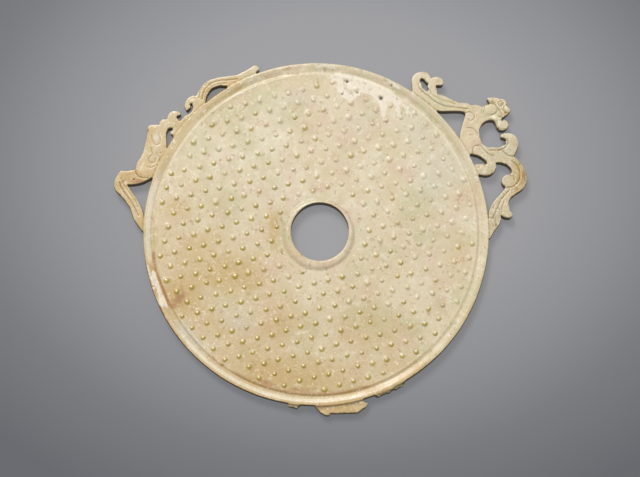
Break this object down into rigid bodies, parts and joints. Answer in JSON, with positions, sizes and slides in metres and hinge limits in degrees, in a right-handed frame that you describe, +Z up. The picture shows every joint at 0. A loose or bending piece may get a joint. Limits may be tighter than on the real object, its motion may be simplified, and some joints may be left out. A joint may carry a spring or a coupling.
{
  "type": "jade bi disc",
  "caption": "Flat carved jade disc with a raised collar round its bore, a rim, a grid of grain bosses and openwork dragon flanges, one of them broken; lies flat.",
  "frame": {"origin": "middle of the whole outline's box, on the plane that the back rim and back collar rest on", "axes": "+Z up out of the carved face, +X towards the side with the complete dragon flange, +Y away from the broken stubs"},
  "size_m": [0.206, 0.177, 0.006],
  "materials": {
    "nephrite": "polished nephrite jade, weathered to a soft sheen, with brown stains"
  },
  "bodies": {
    "root": {"jade_bi": "nephrite"}
  },
  "joints": []
}
